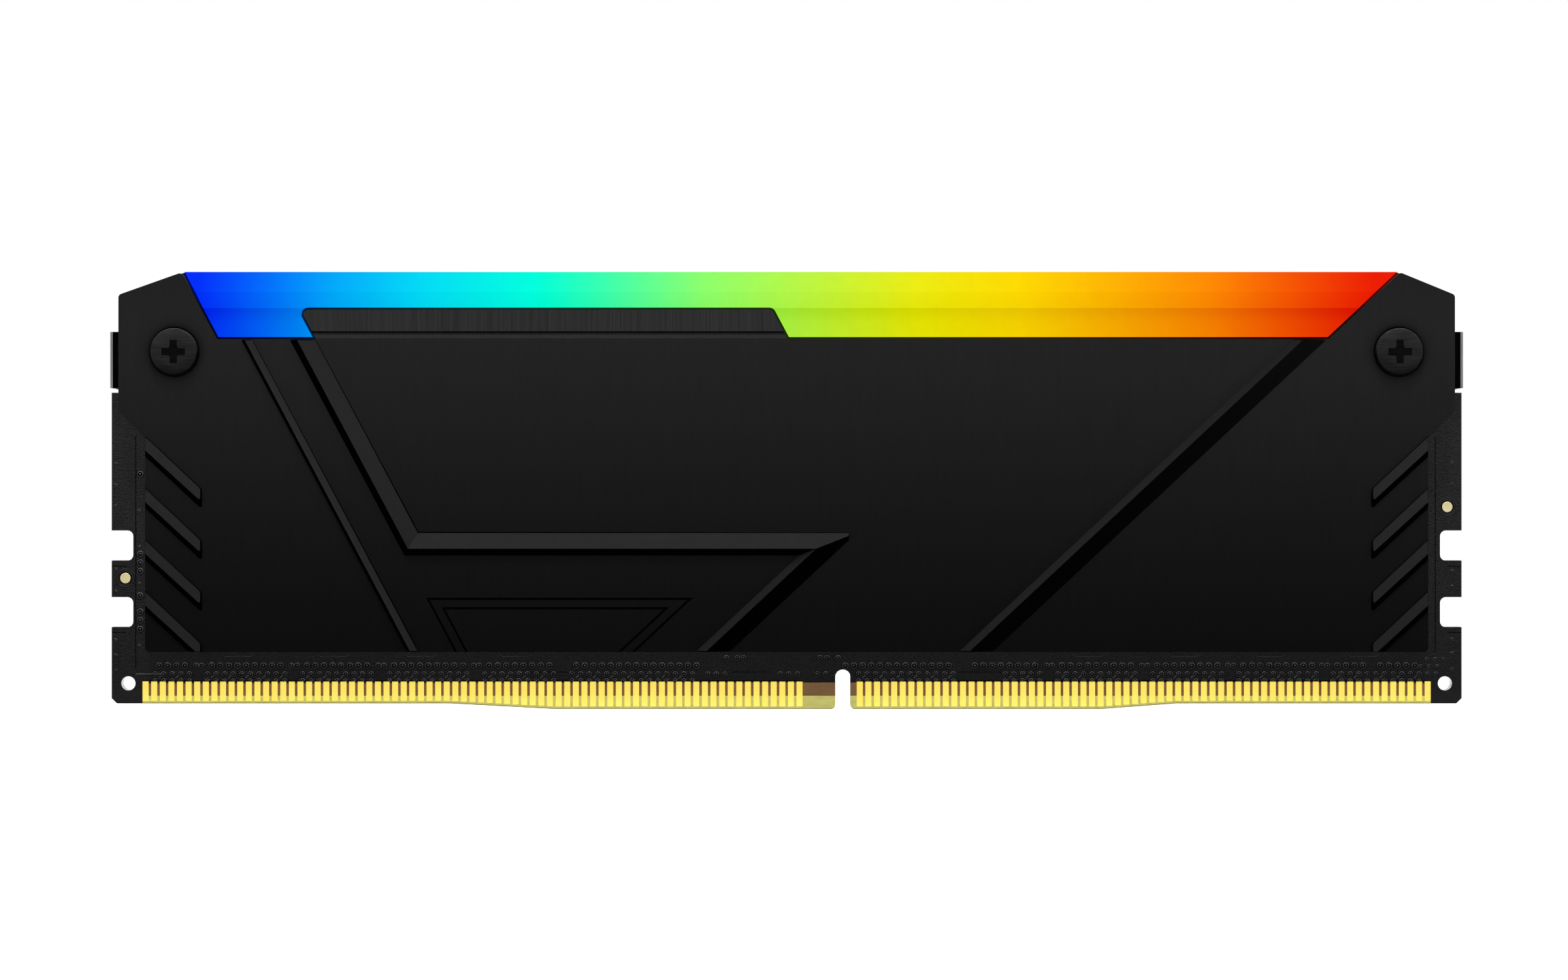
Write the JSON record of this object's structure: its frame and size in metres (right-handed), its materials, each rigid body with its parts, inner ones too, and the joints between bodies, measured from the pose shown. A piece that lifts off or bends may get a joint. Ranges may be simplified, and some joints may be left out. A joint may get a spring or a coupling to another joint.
{
  "type": "ram module",
  "caption": "Desktop memory module: a circuit board with gold edge contacts and latch notches between ridged black heat spreaders, with a lit diffuser bar along the top.",
  "frame": {"origin": "middle of the board's length and thickness, on the lowest stretch of the card edge", "axes": "+X along the module, -Y towards the front with the screw heads, +Z from the card edge up to the light bar"},
  "size_m": [0.1334, 0.0078, 0.0432],
  "materials": {
    "board": "black solder mask over glass-epoxy laminate, bare and tan between the contacts",
    "gold": "hard gold plating over copper, satin",
    "sheet": "black anodised sheet with a faint upright grain",
    "lit_plastic": "translucent diffuser, lit from blue through green and yellow to red",
    "screw": "black-finished steel, faintly brushed",
    "package": "black moulded chip package",
    "ceramic": "tan ceramic capacitor body",
    "lamp": "white lamp package with a clear face",
    "pad": "soft grey heat-conducting silicone"
  },
  "bodies": {
    "root": {"main_board": "board", "front_left_contacts": "gold", "front_right_contacts": "gold", "rear_left_contacts": "gold", "rear_right_contacts": "gold", "front_heat_spreader": "sheet", "rear_heat_spreader": "sheet", "light_bar": "lit_plastic", "left_screw": "screw", "right_screw": "screw", "front_memory_chip_1": "package", "front_memory_chip_2": "package", "front_memory_chip_3": "package", "front_memory_chip_4": "package", "front_memory_chip_5": "package", "front_memory_chip_6": "package", "front_memory_chip_7": "package", "front_memory_chip_8": "package", "rear_memory_chip_1": "package", "rear_memory_chip_2": "package", "rear_memory_chip_3": "package", "rear_memory_chip_4": "package", "rear_memory_chip_5": "package", "rear_memory_chip_6": "package", "rear_memory_chip_7": "package", "rear_memory_chip_8": "package", "identity_chip": "package", "light_controller": "package", "front_capacitor_1": "ceramic", "front_capacitor_2": "ceramic", "front_capacitor_3": "ceramic", "front_capacitor_4": "ceramic", "front_capacitor_5": "ceramic", "front_capacitor_6": "ceramic", "rear_capacitor_1": "ceramic", "rear_capacitor_2": "ceramic", "rear_capacitor_3": "ceramic", "rear_capacitor_4": "ceramic", "rear_capacitor_5": "ceramic", "rear_capacitor_6": "ceramic", "front_light_1": "lamp", "front_light_2": "lamp", "front_light_3": "lamp", "front_light_4": "lamp", "front_light_5": "lamp", "rear_light_1": "lamp", "rear_light_2": "lamp", "rear_light_3": "lamp", "rear_light_4": "lamp", "rear_light_5": "lamp", "front_thermal_pad": "pad", "rear_thermal_pad": "pad"}
  },
  "joints": []
}
